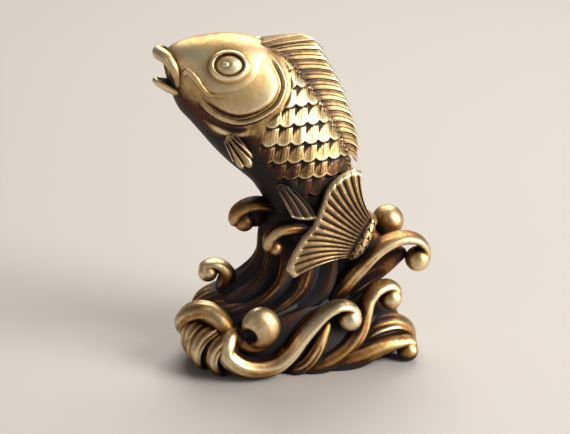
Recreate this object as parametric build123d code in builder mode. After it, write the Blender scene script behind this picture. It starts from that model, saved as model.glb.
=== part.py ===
from build123d import *
import math
import os

os.makedirs("parts", exist_ok=True)

# A leaping carp on curling waves, a small desk ornament of cast brass.
# X runs along the base, the fish faces -X, Y is its thickness and Z is up.
# The origin is the centre of the flat underside. Lengths are in millimetres.

# The wave base
base_length = 43.0
base_width = 29.0
seat_height = 24.2
mound_height = 12.6
fullness_share = 0.85
flute_depth = 1.1
flutes = 13

# The crests that curl off the base: a band that ends in a ball
crest_band = 4.0
crest_thickness = 2.6
crest_ball = 4.6

# The fish, measured from its seat on top of the waves
seat_offset = 3.0
fish_reach = 29.0
fish_rise = 35.0
fish_thickness = 15.2
scale_rows = 10
scale_bump = 0.5
scale_notch_share = 0.6
scales_round = 18
mouth_width = 3.6
mouth_height = 4.4
mouth_depth = 3.0
lip_thickness = 2.1
gill_rise = 1.0
gill_rim_rise = 0.6
gill_rim_width = 1.2
eye_length = 6.8
eye_height = 5.4
eye_rise = 0.9
eye_rim = 0.9
eye_groove = 0.55
eye_tilt = 30.0
barbel_thickness = 1.3

# The fins
dorsal_root = 2.0
dorsal_edge = 1.1
dorsal_rays = 10
tail_reach = 14.0
tail_span = 18.0
tail_lean = 4.0
tail_thickness = 1.4
tail_edge = 1.1
tail_rays = 12
stem_thickness = 3.4
stem_depth = 6.6
side_fin_thickness = 1.6
side_fin_edge = 1.0
side_fin_rays = 4
fin_groove_share = 0.62
fin_edge_share = 0.96

half_length = base_length / 2
half_width = base_width / 2
half_thickness = fish_thickness / 2
toward, away = Vector(0, -1, 0), Vector(0, 1, 0)
placed = []


def meets(box, other):
    """Says whether two boxes meet."""
    pairs = zip(tuple(box.min) + tuple(other.min), tuple(other.max) + tuple(box.max))
    return all(low < high for low, high in pairs)


def finish(block, name):
    """Seats a piece against the pieces made before it, and writes it."""
    box = block.part.bounding_box()
    near = [other for other, other_box in placed if meets(box, other_box)]
    seated = block.part - near if near else block.part
    with BuildPart() as whole:
        add(seated.solids().sort_by(SortBy.VOLUME)[-1])
    whole.part.label = name
    export_step(whole.part, f"parts/{name}.step")
    placed.append((whole.part, whole.part.bounding_box()))


def wave_point(share):
    """A place on the base, from shares of its half length, half width and seat height."""
    x, y, z = share
    return Vector(x * half_length, y * half_width, z * seat_height)


def fish_point(x_share, y_share, z_share):
    """A place on the fish, from shares of its reach, half thickness and rise."""
    x = seat_offset + x_share * fish_reach
    return Vector(x, y_share * half_thickness, seat_height + z_share * fish_rise)


def ring(half_x, half_y, sides, turn=0.0):
    """The corners of an oval polygon."""
    angles = [turn + 2 * math.pi * i / sides for i in range(sides)]
    return [(half_x * math.cos(a), half_y * math.sin(a)) for a in angles]


def oblong(half_x, half_y, sides):
    """The corners of an oval with fuller shoulders."""
    corners = ring(1, 1, sides)
    return [(half_x * math.copysign(abs(x) ** fullness_share, x),
             half_y * math.copysign(abs(y) ** fullness_share, y)) for x, y in corners]


def on_plane(plane, corners):
    """The places of flat corners on a plane."""
    return [plane.from_local_coords(corner) for corner in corners]


def skin(rings):
    """A closed solid through rings of points, with flat three-cornered facets."""
    facets = []
    for low, high in zip(rings, rings[1:]):
        for i in range(len(low)):
            j = (i + 1) % len(low)
            facets.append(Face(Wire.make_polygon([low[i], low[j], high[j]])))
            facets.append(Face(Wire.make_polygon([low[i], high[j], high[i]])))
    facets.append(Face(Wire.make_polygon(rings[0])))
    facets.append(Face(Wire.make_polygon(rings[-1])))
    return Solid(Shell(facets))


def station(path, place, axis):
    """A section plane on a path, with its width along the axis."""
    point, ahead = path @ place, path % place
    side = axis - ahead * axis.dot(ahead)
    return Plane(origin=point, x_dir=side, z_dir=ahead)


# Nothing reaches below the surface that the ornament stands on
with BuildPart() as ground:
    with BuildSketch():
        Rectangle(2 * base_length, 2 * base_width)
    extrude(amount=-mound_height)
placed.append((ground.part, ground.part.bounding_box()))

# The mound: ovals that shift to the left as they rise, under all the crests
# Each row: height, shift, half length and half width, in shares of the base
mound_shares = [
    (0, 0, 0.91, 0.87),
    (0.21, 0, 0.93, 0.88),
    (0.53, -0.04, 0.87, 0.79),
    (0.74, -0.13, 0.79, 0.69),
    (0.87, -0.22, 0.68, 0.58),
    (0.95, -0.32, 0.54, 0.44),
    (0.99, -0.37, 0.35, 0.28),
]
mound_rings = []
for z_share, shift_share, x_share, y_share in mound_shares:
    level = Plane.XY.offset(z_share * mound_height)
    oval = oblong(x_share * half_length, y_share * half_width, 24)
    mound_rings.append(on_plane(level, [(x + shift_share * half_length, y) for x, y in oval]))

with BuildPart() as mound:
    add(skin(mound_rings))
finish(mound, "wave_mound")

# The column: a fluted stream that bends from under the fish down to the left
# Each row: x and z on the inside of the bend, x and z on its outside, and
# the half width, and how deep the flutes are against the full depth, in shares
column_shares = [
    (-0.25, 1.14, 0.46, 1.13, 0.37, 0),
    (-0.32, 1.06, 0.5, 1.05, 0.42, 0.3),
    (-0.35, 0.93, 0.51, 0.87, 0.45, 1),
    (-0.36, 0.81, 0.53, 0.64, 0.5, 1),
    (-0.41, 0.7, 0.42, 0.4, 0.59, 1),
    (-0.49, 0.62, 0.14, 0.27, 0.66, 1),
    (-0.59, 0.55, -0.19, 0.21, 0.68, 1),
    (-0.69, 0.5, -0.51, 0.19, 0.61, 1),
    (-0.78, 0.45, -0.72, 0.23, 0.45, 0.6),
]
column_rings = []
for in_x, in_z, out_x, out_z, wide_share, flute_share in column_shares:
    inside, outside = wave_point((in_x, 0, in_z)), wave_point((out_x, 0, out_z))
    reach = outside - inside
    level = Plane(origin=(inside + outside) / 2, x_dir=reach, z_dir=away.cross(reach))
    half_x, half_y = reach.length / 2, wide_share * half_width
    crests = ring(half_x, half_y, 3 * flutes)
    depth = flute_depth * flute_share
    hollows = ring(half_x - depth, half_y - depth, 3 * flutes)
    outline = [crests[i] if i % 3 == 0 else hollows[i] for i in range(3 * flutes)]
    column_rings.append(on_plane(level, outline))

with BuildPart() as column:
    add(skin(column_rings))
finish(column, "wave_column")

# The fish's outline: places along the back and the belly, half thickness
# and how far the gill plate stands off, in shares
fish_shares = [
    (-0.914, 0.931, -0.931, 0.76, 0.38, 0.0),
    (-0.848, 0.957, -0.886, 0.7, 0.45, 0.0),
    (-0.769, 0.98, -0.828, 0.634, 0.62, 0.0),
    (-0.672, 0.994, -0.759, 0.566, 0.78, 0.0),
    (-0.524, 1.0, -0.69, 0.494, 0.91, 0.3),
    (-0.393, 0.98, -0.621, 0.423, 0.97, 0.7),
    (-0.272, 0.94, -0.538, 0.349, 1.0, 1.0),
    (-0.159, 0.877, -0.462, 0.291, 1.0, 1.0),
    (-0.062, 0.774, -0.397, 0.24, 0.99, 1.0),
]
head_sections = 7


def across(row, swell):
    """The oval section of the fish at one row of its outline."""
    back_x, back_z, belly_x, belly_z, wide_share, swell_share = row
    back, belly = fish_point(back_x, 0, back_z), fish_point(belly_x, 0, belly_z)
    depth = back - belly
    plane = Plane(origin=(back + belly) / 2, x_dir=depth, z_dir=away.cross(depth))
    stand_off = swell * swell_share
    half_depth = depth.length / 2 + stand_off
    half_wide = wide_share * half_thickness + stand_off
    return on_plane(plane, ring(half_depth, half_wide, 20))


with BuildPart() as head:
    add(skin([across(row, 0) for row in fish_shares[:head_sections]]))
    mouth = Plane(origin=fish_point(-0.924, 0, 0.84), x_dir=(0, 1, 0), z_dir=(1, 0, -0.1))
    opening = on_plane(mouth.offset(-lip_thickness), ring(mouth_width / 2, mouth_height / 2, 12))
    throat = on_plane(mouth.offset(mouth_depth), ring(mouth_width / 4, mouth_height / 4, 12))
    add(skin([opening, throat]), mode=Mode.SUBTRACT)
finish(head, "fish_head")

# The scaled body: rows of scales, each wider at its lower edge, stacked
# from the nape to the seat. Outlines are (x, z) shares from top to bottom.
back_shares = [
    (-0.286, 0.946), (-0.169, 0.889), (-0.103, 0.826), (-0.045, 0.754), (0.014, 0.683),
    (0.072, 0.606), (0.131, 0.52), (0.176, 0.44), (0.214, 0.351), (0.238, 0.263),
    (0.252, 0.137), (0.248, 0.06), (0.2, 0.0),
]
belly_shares = [
    (-0.68, 0.946), (-0.745, 0.8), (-0.714, 0.75), (-0.69, 0.6), (-0.68, 0.517), (-0.628, 0.429),
    (-0.538, 0.346), (-0.459, 0.286), (-0.397, 0.234), (-0.348, 0.18), (-0.314, 0.126),
    (-0.286, 0.063), (-0.25, 0.0),
]
body_thickness_share = [(0.0, 0.68), (0.06, 0.84), (0.2, 0.9), (0.35, 0.98), (0.6, 1.0),
                        (0.75, 0.93), (0.8, 0.87), (0.95, 0.49)]


def read_table(table, key):
    """Reads a table of (key, value) rows, in order of key, between its rows."""
    rows = sorted(table)
    for (k0, v0), (k1, v1) in zip(rows, rows[1:]):
        if k0 <= key <= k1:
            return v0 + (v1 - v0) * (key - k0) / (k1 - k0)
    return rows[-1][1]


def body_ring(z_share, inset, notch):
    """One level outline of the body, set in, with notches between its scales."""
    back = read_table([(z, x) for x, z in back_shares], z_share)
    belly = read_table([(z, x) for x, z in belly_shares], z_share)
    half_x = (back - belly) / 2 * fish_reach
    half_y = read_table(body_thickness_share, z_share) * half_thickness
    middle = seat_offset + (back + belly) / 2 * fish_reach
    wide = ring(half_x - inset, half_y - inset, 3 * scales_round)
    slim = ring(half_x - inset - notch, half_y - inset - notch, 3 * scales_round)
    outline = [slim[i] if i % 3 == 0 else wide[i] for i in range(3 * scales_round)]
    level = Plane.XY.offset(seat_height + z_share * fish_rise)
    return on_plane(level, [(x + middle, y) for x, y in outline])


body_top_share = back_shares[0][1]
row_share = body_top_share / scale_rows
body_rings = []
for row in range(scale_rows):
    high_share = body_top_share - row * row_share
    body_rings.append(body_ring(high_share, scale_bump, 0))
    body_rings.append(body_ring(high_share - row_share, 0, scale_bump * scale_notch_share))

back_x, back_z, belly_x, belly_z, *swells = fish_shares[head_sections - 1]
nape, throat = fish_point(back_x, 0, back_z), fish_point(belly_x, 0, belly_z)
with BuildPart() as body:
    add(skin(body_rings))
    split(bisect_by=Plane(origin=nape, x_dir=away, z_dir=away.cross(nape - throat)), keep=Keep.TOP)
finish(body, "fish_body")

# The gill plates: the cheek and its raised rim, shaped from the head's sections
rim_shares = [
    (-0.262, 0.891), (-0.221, 0.834), (-0.207, 0.771), (-0.228, 0.709), (-0.276, 0.654),
    (-0.348, 0.614), (-0.434, 0.589), (-0.521, 0.58), (-0.61, 0.597), (-0.697, 0.64),
]
cheek_shares = [(-0.66, 0.72), (-0.58, 0.8), (-0.42, 0.83), (-0.33, 0.9)]


def gill_plate(name, side):
    """The plate of one side: a low rim and the higher cheek inside it."""
    flank = Plane(origin=(0, 0, 0), x_dir=(1, 0, 0), z_dir=side)
    with BuildPart() as plate:
        for inset, rise in ((0, gill_rim_rise), (gill_rim_width, gill_rise)):
            corners = []
            for x_share, z_share in rim_shares + cheek_shares:
                spot = flank.to_local_coords(fish_point(x_share, 0, z_share))
                corners.append((spot.X, spot.Y))
            with BuildSketch(flank):
                Polygon(*corners)
                if inset:
                    offset(amount=-inset, mode=Mode.REPLACE)
            layer = extrude(amount=fish_thickness, mode=Mode.PRIVATE)
            shell = skin([across(row, rise) for row in fish_shares[1:]])
            add(layer & shell)
    finish(plate, name)


gill_plate("gill_plate_left", toward)
gill_plate("gill_plate_right", away)


def strand(path, stations, outline, axis, half_wide, half_thick):
    """A strand along a curve, from (place, swell) stations and a unit outline."""
    rings = []
    for place, swell in stations:
        section = [(a * swell * half_wide, b * swell * half_thick) for a, b in outline]
        rings.append(on_plane(station(path, place, axis), section))
    return skin(rings)


# A round rope, as an outline of size one
rope_outline = ring(1, 1, 8)

# The lips: an arched upper lip and a pointed lower one, round the mouth
upper_lip_shares = [(-0.845, 0.4, 0.735), (-0.885, 0.44, 0.83), (-0.925, 0.28, 0.915), (-0.938, 0, 0.94)]
lower_lip_shares = [(-0.862, 0.36, 0.735), (-0.925, 0.27, 0.772), (-0.962, 0.13, 0.796), (-0.972, 0, 0.8)]
lip_stations = [(0.0, 0.55), (0.1, 0.8), (0.25, 0.95), (0.4, 1.0), (0.5, 1.0), (0.6, 1.0),
                (0.75, 0.95), (0.9, 0.8), (1.0, 0.55)]


def lip(name, half_shares, thick_share):
    """A lip that runs from one corner of the mouth over its middle to the other."""
    near = [fish_point(x, -y, z) for x, y, z in half_shares]
    far = [fish_point(x, y, z) for x, y, z in reversed(half_shares[:-1])]
    with BuildLine() as line:
        Spline(*near, *far)
    radius = lip_thickness / 2 * thick_share
    with BuildPart() as roll:
        add(strand(line.edge(), lip_stations, rope_outline, Vector(1, 0, 0.3), radius, radius))
    finish(roll, name)


lip("upper_lip", upper_lip_shares, 1.0)
lip("lower_lip", lower_lip_shares, 0.85)

# The eyes: a rim, a groove inside it and the eyeball, on each cheek
eye_share = (-0.559, 0.74, 0.878)


def eye(name, side):
    """One eye, standing square to the slope of the head."""
    x_share, y_share, z_share = eye_share
    centre = fish_point(x_share, y_share * side, z_share)
    tilt = math.radians(eye_tilt)
    look = Vector(0, side * math.cos(tilt), math.sin(tilt))
    face = Plane(origin=centre, x_dir=(1, 0, -0.12), z_dir=look)
    half_long, half_high = eye_length / 2, eye_height / 2
    groove_floor = eye_rise - eye_groove
    # Each step: how far in from the outline, and the height over the cheek
    steps = [
        (0, -eye_rise), (0, groove_floor), (eye_rim / 3, eye_rise), (eye_rim, eye_rise),
        (eye_rim, groove_floor), (eye_rim + eye_groove, groove_floor),
        (eye_rim + 2 * eye_groove, eye_rise), (half_high - eye_groove, eye_rise + eye_groove / 2),
    ]
    rings = []
    for inset, height in steps:
        oval = ring(half_long - inset, half_high - inset, 14)
        rings.append(on_plane(face.offset(height), oval))
    with BuildPart() as globe:
        add(skin(rings))
    finish(globe, name)


eye("eye_left", -1)
eye("eye_right", 1)

# The barbels: a whisker that droops from each corner of the mouth
barbel_shares = [
    (-0.824, 0.53, 0.835), (-0.783, 0.66, 0.843), (-0.745, 0.76, 0.814), (-0.71, 0.85, 0.771),
    (-0.676, 0.9, 0.743), (-0.628, 0.95, 0.735), (-0.583, 0.98, 0.722),
]
barbel_stations = [(0.0, 0.8), (0.12, 1.1), (0.3, 1.0), (0.45, 1.0), (0.6, 0.95), (0.75, 0.85),
                   (0.9, 0.7), (1.0, 0.3)]


def barbel(name, side):
    """One whisker, lying on the cheek."""
    with BuildLine() as line:
        Spline(*[fish_point(x, y * side, z) for x, y, z in barbel_shares])
    radius = barbel_thickness / 2
    with BuildPart() as whisker:
        add(strand(line.edge(), barbel_stations, rope_outline, away, radius, radius))
    finish(whisker, name)


barbel("barbel_left", -1)
barbel("barbel_right", 1)


def fin(name, root_points, edge_points, rays, root_thick, edge_thick, facing):
    """A pleated fin between a root curve and an edge curve, thick along each ray."""
    with BuildLine() as root_line:
        Spline(*root_points)
    with BuildLine() as edge_line:
        Spline(*edge_points)
    root, edge = root_line.edge(), edge_line.edge()
    rings = []
    steps = 2 * rays
    for step in range(steps + 1):
        place = step / steps
        foot, tip = root @ place, edge @ place
        ray = tip - foot
        face_normal = (facing - ray * (facing.dot(ray) / ray.dot(ray))).normalized()
        ridge = 1 if step % 2 == 0 else fin_groove_share
        if step % 2:
            tip = foot + ray * fin_edge_share
        low, high = face_normal * root_thick * ridge / 2, face_normal * edge_thick * ridge / 2
        rings.append([foot - low, tip - high, tip + high, foot + low])
    with BuildPart() as web:
        add(skin(rings))
    finish(web, name)


# The dorsal fin stands on the back, which it enters by a little
dorsal_root_shares = [
    (-0.39, 0.937), (-0.283, 0.914), (-0.2, 0.874), (-0.124, 0.8), (-0.059, 0.72), (0, 0.64),
    (0.055, 0.56), (0.11, 0.474), (0.152, 0.394), (0.183, 0.326),
]
dorsal_edge_shares = [
    (-0.172, 0.989), (-0.021, 0.974), (0.045, 0.909), (0.09, 0.837), (0.141, 0.766),
    (0.186, 0.686), (0.224, 0.6), (0.252, 0.52), (0.272, 0.446), (0.283, 0.349), (0.266, 0.28),
]
fin("dorsal_fin", [fish_point(x, 0, z) for x, z in dorsal_root_shares],
    [fish_point(x, 0, z) for x, z in dorsal_edge_shares], dorsal_rays, dorsal_root, dorsal_edge, toward)

# The paired fins: places on the flank, half thickness and height, in shares
side_fin_shares = {
    "pectoral_fin": ([(-0.621, 0.84, 0.505), (-0.586, 0.88, 0.53), (-0.545, 0.92, 0.535)],
                     [(-0.6, 1.0, 0.411), (-0.545, 1.1, 0.363), (-0.475, 1.14, 0.367),
                      (-0.421, 1.12, 0.417)]),
    "pelvic_fin": ([(-0.276, 0.68, 0.274), (-0.221, 0.79, 0.28), (-0.152, 0.91, 0.251)],
                   [(-0.186, 0.97, 0.091), (-0.11, 1.05, 0.077), (-0.034, 1.07, 0.089)]),
}
for fin_name, (roots, edges) in side_fin_shares.items():
    for side_name, side in (("left", -1), ("right", 1)):
        fin(f"{fin_name}_{side_name}", [fish_point(x, y * side, z) for x, y, z in roots],
            [fish_point(x, y * side, z) for x, y, z in edges], side_fin_rays,
            side_fin_thickness, side_fin_edge, away * side)

# The tail: the scaly stem, planted in the water, and a fan that folds over the front
tail_seat_share = (0.4651, -0.4828, 0.9917)


def tail_point(x_share, y_share, z_share):
    """A place on the tail, from shares of its reach, lean and span."""
    way = Vector(x_share * tail_reach, y_share * tail_lean, z_share * tail_span)
    return wave_point(tail_seat_share) + way


tail_root_shares = [
    (0.14, 0.27, 0.09), (0.09, 0.23, 0.03), (0.02, 0.2, -0.06), (-0.04, 0.2, -0.14),
    (-0.1, 0.23, -0.22),
]
tail_edge_shares = [
    (0.11, 0.25, 0.57), (0.01, 0.07, 0.64), (-0.16, -0.15, 0.67), (-0.32, -0.35, 0.6),
    (-0.49, -0.48, 0.46), (-0.61, -0.65, 0.24), (-0.76, -0.7, 0.11), (-0.9, -0.75, -0.03),
    (-1, -0.85, -0.19), (-1, -0.9, -0.32), (-0.94, -0.85, -0.38),
]
stem_shares = [
    (0.2, 0.55, 0.18), (0.11, 0.45, 0.06), (0.02, 0.4, -0.06), (-0.06, 0.4, -0.18),
    (-0.21, 0.5, -0.38),
]
stem_stations = [(0.0, 0.7), (0.2, 0.9), (0.4, 1.0), (0.6, 1.0), (0.8, 0.9), (1.0, 0.65)]

with BuildLine() as stem_line:
    Spline(*[tail_point(*share) for share in stem_shares])
with BuildPart() as stem:
    add(strand(stem_line.edge(), stem_stations, rope_outline, away, stem_depth / 2, stem_thickness / 2))
finish(stem, "tail_stem")

fin("tail_fin", [tail_point(*share) for share in tail_root_shares],
    [tail_point(*share) for share in tail_edge_shares], tail_rays, tail_thickness, tail_edge, toward)

# How a crest changes along its way: place, swell of its width, and how far
# its thickness has gone from that of the foot to that of the hook
crest_stations = [
    (0.0, 1.0, 0.0), (0.1, 1.0, 0.0), (0.2, 1.0, 0.0), (0.3, 1.0, 0.05), (0.4, 1.0, 0.15), (0.5, 0.98, 0.3),
    (0.6, 0.95, 0.5), (0.68, 0.9, 0.7), (0.76, 0.85, 0.85), (0.84, 0.8, 0.95), (0.92, 0.72, 1.0),
    (1.0, 0.6, 1.0),
]
blade_stations = [
    (0.0, 0.85), (0.12, 0.95), (0.24, 1.0), (0.36, 1.0), (0.48, 1.0), (0.6, 0.97), (0.72, 0.88),
    (0.84, 0.72), (0.94, 0.5), (1.0, 0.25),
]
ball_stations = [(-0.94, 0.34), (-0.6, 0.8), (0, 1), (0.6, 0.8), (0.94, 0.34)]


def curl(name, axes, places, wide_share, foot_share, hook_share, ball_place, ball_share, deep_share, tall_share):
    """A crest of water: a rope that thins along a curve and wraps the ball at its end."""
    with BuildLine() as line:
        Spline(*[wave_point(place) for place in places])
    first_axis, last_axis = Vector(*axes[0]), Vector(*axes[1])
    rings = []
    for place, swell, thinned in crest_stations:
        axis = first_axis * (1 - place) + last_axis * place
        half_wide = swell * wide_share * crest_band / 2
        half_thick = (foot_share + (hook_share - foot_share) * thinned) * crest_thickness / 2
        section = [(a * half_wide, b * half_thick) for a, b in rope_outline]
        rings.append(on_plane(station(line.edge(), place, axis), section))
    radius = ball_share * crest_ball / 2
    centre = Plane.XY.move(Location(wave_point(ball_place)))
    ball_rings = []
    for place, swell in ball_stations:
        corners = ring(swell * radius, swell * radius * deep_share, 8)
        ball_rings.append(on_plane(centre.offset(place * radius * tall_share), corners))
    with BuildPart() as wave:
        add(skin(rings))
        add(skin(ball_rings))
    finish(wave, name)


def taper(name, axis, places, wide_share, thick_share):
    """A strand without a ball, which thins out between its neighbours."""
    with BuildLine() as line:
        Spline(*[wave_point(place) for place in places])
    half_wide = wide_share * crest_band / 2
    half_thick = thick_share * crest_thickness / 2
    with BuildPart() as wave:
        add(strand(line.edge(), blade_stations, rope_outline, axis, half_wide, half_thick))
    finish(wave, name)


# Each row: name, axis at the foot and at the hook, places on the base, then
# the width, the thickness of the foot and the hook, the place and size of the
# ball and how deep and tall it is against its size, all in shares
curls_shares = [
    ("crest_front_left", ((0.3, 0.6, 0.8), (0, 1, 0)), [
        (-0.7, 0.24, 0.14), (-0.9, 0.1, 0.19), (-0.98, -0.08, 0.26), (-0.99, -0.26, 0.35),
        (-0.93, -0.39, 0.43), (-0.84, -0.5, 0.45), (-0.75, -0.61, 0.41), (-0.67, -0.7, 0.34),
        (-0.59, -0.78, 0.28), (-0.49, -0.83, 0.26), (-0.39, -0.86, 0.3), (-0.34, -0.86, 0.37)],
     1, 1.42, 1.23, (-0.44, -0.87, 0.39), 1.39, 0.8, 1.18),
    ("front_strand_long", ((0, 1, 0.1), (0, 1, 0.1)), [
        (-0.6, -0.73, 0.31), (-0.67, -0.82, 0.27), (-0.7, -0.86, 0.2), (-0.64, -0.9, 0.13),
        (-0.5, -0.92, 0.09), (-0.33, -0.91, 0.1), (-0.2, -0.89, 0.17), (-0.09, -0.87, 0.29),
        (0.01, -0.85, 0.38), (0.13, -0.83, 0.47), (0.24, -0.81, 0.5), (0.34, -0.8, 0.48),
        (0.4, -0.8, 0.41), (0.38, -0.8, 0.34)],
     1.1, 1.35, 0.65, (0.32, -0.8, 0.38), 0.87, 1, 1),
    ("crest_front_right", ((0, 1, 0.2), (0, 1, 0.2)), [
        (-0.09, -0.8, 0.03), (0.04, -0.84, 0.04), (0.19, -0.83, 0.09), (0.33, -0.78, 0.17),
        (0.43, -0.73, 0.27), (0.47, -0.68, 0.38), (0.52, -0.62, 0.47), (0.6, -0.58, 0.55),
        (0.71, -0.55, 0.56), (0.79, -0.54, 0.5), (0.78, -0.54, 0.43)],
     0.95, 1.38, 0.65, (0.72, -0.54, 0.45), 0.83, 1, 1),
    ("crest_right_low", ((0, 1, 0.2), (0, 1, 0.2)), [
        (0.07, -0.71, 0.03), (0.27, -0.73, 0.05), (0.43, -0.71, 0.09), (0.6, -0.67, 0.12),
        (0.75, -0.63, 0.14), (0.88, -0.59, 0.12), (0.93, -0.58, 0.06)],
     0.95, 1.92, 0.92, (0.86, -0.58, 0.07), 0.83, 1, 1),
    ("crest_right_upper", ((0, 1, 0), (0, 1, 0)), [
        (0.16, -0.26, 0.35), (0.33, -0.37, 0.53), (0.47, -0.43, 0.69), (0.59, -0.43, 0.8),
        (0.69, -0.41, 0.86), (0.85, -0.39, 0.89), (0.98, -0.37, 0.86), (1.06, -0.34, 0.78),
        (1.06, -0.34, 0.7), (1.02, -0.34, 0.65)],
     1.2, 1.23, 0.73, (0.98, -0.34, 0.7), 0.85, 1, 1),
    ("crest_right_back", ((0, 1, 0), (0, 1, 0)), [
        (0.47, 0.14, 0.45), (0.58, 0.12, 0.67), (0.67, 0.1, 0.82), (0.74, 0.07, 0.91)],
     1.5, 1.54, 2, (0.8, 0.07, 0.93), 1.3, 1, 1),
    ("crest_left_upper", ((0, -1, 0), (0, -1, 0)), [
        (0.05, -0.03, 0.91), (-0.14, -0.07, 1.08), (-0.28, -0.07, 1.16), (-0.38, -0.07, 1.17),
        (-0.47, -0.07, 1.15), (-0.53, -0.07, 1.11), (-0.55, -0.07, 1.06), (-0.52, -0.07, 1.01),
        (-0.47, -0.07, 0.99)],
     1.15, 1, 0.88, (-0.43, -0.07, 1.03), 0.65, 1, 1),
    ("crest_inner", ((0, 1, 0), (0, 1, 0)), [
        (0.07, -0.34, 0.81), (-0.06, -0.41, 0.91), (-0.1, -0.46, 1), (-0.2, -0.48, 1.05),
        (-0.28, -0.48, 1.02), (-0.3, -0.48, 0.95), (-0.26, -0.48, 0.9)],
     0.9, 0.92, 0.81, (-0.25, -0.48, 0.97), 0.61, 1, 1),
    ("crest_left_small", ((0, -1, 0), (0, -1, 0)), [
        (-0.44, 0.03, 0.31), (-0.58, 0.06, 0.4), (-0.62, 0.07, 0.5), (-0.6, 0.07, 0.6),
        (-0.65, 0.07, 0.67), (-0.73, 0.07, 0.69), (-0.8, 0.07, 0.67), (-0.81, 0.07, 0.62)],
     0.85, 1.38, 0.65, (-0.76, 0.07, 0.64), 0.76, 1, 1),
    ("back_strand_long", ((0, 1, -0.1), (0, 1, -0.1)), [
        (0.44, 0.62, 0.31), (0.58, 0.77, 0.24), (0.57, 0.84, 0.14), (0.44, 0.89, 0.09),
        (0.28, 0.91, 0.11), (0.12, 0.9, 0.21), (0, 0.86, 0.33), (-0.12, 0.81, 0.43),
        (-0.24, 0.79, 0.47), (-0.33, 0.77, 0.45), (-0.37, 0.77, 0.38)],
     0.85, 1.31, 0.73, (-0.31, 0.77, 0.37), 0.87, 1, 1),
    ("back_crest_left", ((0, 1, 0), (0, 1, 0)), [
        (0.02, 0.72, 0.05), (-0.14, 0.76, 0.08), (-0.29, 0.75, 0.17), (-0.38, 0.7, 0.26),
        (-0.46, 0.66, 0.31), (-0.55, 0.64, 0.32), (-0.6, 0.63, 0.27)],
     0.95, 1.31, 0.77, (-0.53, 0.63, 0.24), 0.78, 1, 1),
    ("back_crest_low", ((0, 1, -0.2), (0, 1, -0.2)), [
        (-0.3, 0.6, 0.03), (-0.5, 0.64, 0.08), (-0.66, 0.6, 0.13), (-0.8, 0.5, 0.15),
        (-0.88, 0.39, 0.12)],
     0.95, 1.54, 1, (-0.86, 0.37, 0.08), 0.83, 1, 1),
    ("back_crest_right", ((0, 1, 0), (0, 1, 0)), [
        (0.25, 0.4, 0.31), (0.4, 0.5, 0.43), (0.53, 0.54, 0.54), (0.66, 0.54, 0.57),
        (0.76, 0.54, 0.53), (0.77, 0.54, 0.46)],
     1.1, 1.31, 0.77, (0.7, 0.54, 0.46), 0.85, 1, 1),
    ("back_crest_low_right", ((0, 1, -0.2), (0, 1, -0.2)), [
        (0.4, 0.6, 0.04), (0.6, 0.6, 0.1), (0.76, 0.48, 0.15), (0.88, 0.34, 0.14),
        (0.91, 0.25, 0.08)],
     0.95, 1.62, 1, (0.85, 0.23, 0.08), 0.83, 1, 1),
    ("back_crest_high", ((0, -1, 0), (0, -1, 0)), [
        (0.33, 0.2, 0.56), (0.26, 0.39, 0.7), (0.16, 0.48, 0.81), (0.04, 0.5, 0.84),
        (-0.06, 0.5, 0.8), (-0.06, 0.5, 0.74)],
     1.15, 1.15, 0.77, (0.01, 0.5, 0.74), 0.78, 1, 1),
]
# Each row: name, axis, places on the base, width and thickness, in shares
tapers_shares = [
    ("petal_upper", (0.7, -0.7, -0.2), [
        (-0.76, -0.43, 0.38), (-0.88, -0.48, 0.37), (-0.97, -0.51, 0.31), (-1, -0.49, 0.23),
        (-0.99, -0.46, 0.15), (-0.92, -0.4, 0.05)], 0.75, 1.08),
    ("petal_middle", (0.7, -0.7, -0.2), [
        (-0.7, -0.52, 0.36), (-0.81, -0.62, 0.35), (-0.93, -0.67, 0.28), (-0.96, -0.67, 0.19),
        (-0.94, -0.63, 0.11), (-0.87, -0.57, 0.02)], 0.9, 1.15),
    ("petal_lower", (0.7, -0.7, -0.2), [
        (-0.62, -0.66, 0.32), (-0.74, -0.76, 0.3), (-0.83, -0.81, 0.23), (-0.85, -0.8, 0.16),
        (-0.81, -0.77, 0.08), (-0.73, -0.72, 0)], 1, 1.15),
    ("front_strand_short", (0, 1, 0.1), [
        (-0.2, -0.86, 0.02), (-0.06, -0.88, 0.08), (0.03, -0.86, 0.17), (0.09, -0.83, 0.27),
        (0.16, -0.77, 0.36)], 0.75, 1.15),
    ("crest_right_ridge", (0.2, 1, 0.1), [
        (0.35, -0.57, 0.08), (0.48, -0.61, 0.18), (0.63, -0.58, 0.24), (0.78, -0.51, 0.25),
        (0.91, -0.43, 0.19), (0.97, -0.39, 0.1), (0.95, -0.34, 0.02)], 0.95, 0.92),
    ("crest_right_blade", (0, 1, 0), [
        (0.12, -0.08, 0.33), (0.34, -0.12, 0.45), (0.52, -0.17, 0.55), (0.66, -0.19, 0.64),
        (0.79, -0.21, 0.73)], 1.3, 1.92),
    ("back_strand_short", (0, 1, -0.1), [
        (0.1, 0.77, 0.02), (-0.04, 0.83, 0.08), (-0.12, 0.83, 0.16), (-0.2, 0.78, 0.27),
        (-0.3, 0.68, 0.36)], 0.8, 1.15),
]
for name, axes, *rest in curls_shares:
    curl(name, axes, *rest)
for name, axis, *rest in tapers_shares:
    taper(name, Vector(*axis), *rest)

for node, node_box in placed[1:]:
    print(node.label, round(node.volume, 1))
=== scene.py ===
# %% [markdown]
# A leaping carp on curling waves, cast in brass. The measured model is loaded
# first. It stays as it is and gives the place and size of every piece. Each
# piece is then modelled again with the soft forms of a casting, and stands in
# for the plain solid of the same place.

# %% Load the measured model
import math
import bmesh
import bpy
import numpy as np
from mathutils import Matrix, Vector
from mathutils.bvhtree import BVHTree


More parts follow.
